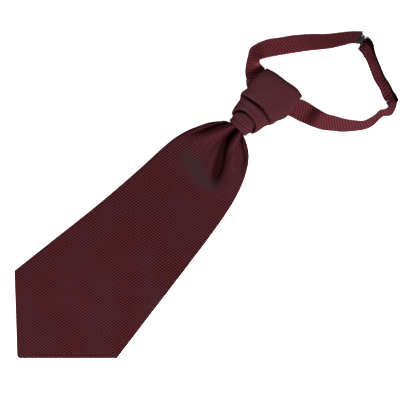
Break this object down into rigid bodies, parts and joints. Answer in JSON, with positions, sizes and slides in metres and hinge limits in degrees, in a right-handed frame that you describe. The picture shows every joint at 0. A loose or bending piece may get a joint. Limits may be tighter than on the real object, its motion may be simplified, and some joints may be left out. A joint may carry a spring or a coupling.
{
  "type": "silk cravat",
  "caption": "Ready-tied silk cravat laid flat: wide pointed blade pleated into a ring and wrap, trapezoid knot and an adjustable hooked neckband loop.",
  "frame": {"origin": "middle of the underside of the part's bounding box, on the surface it lies on", "axes": "+Y along the blade from its tip to the neckband, +X to the right seen from above with +Y up, +Z up out of the surface"},
  "size_m": [0.1564, 0.475, 0.0249],
  "materials": {
    "blade_silk": "figured silk with a small two-tone check of burgundy and near-black, soft sheen",
    "knot_silk": "figured silk with a small two-tone check of burgundy and near-black, soft sheen",
    "neckband_silk": "figured silk with a small two-tone check of burgundy and near-black, soft sheen",
    "metal": "dark nickelled wire, slightly worn"
  },
  "bodies": {
    "root": {"blade": "blade_silk", "knot_ring": "knot_silk", "knot_wrap": "knot_silk", "knot_body": "knot_silk", "knot_core": "knot_silk", "knot_side_layer": "knot_silk", "neckband_left": "neckband_silk", "neckband_right": "neckband_silk", "neckband_return": "neckband_silk", "eye": "metal", "hook": "metal", "slider": "metal"}
  },
  "joints": []
}
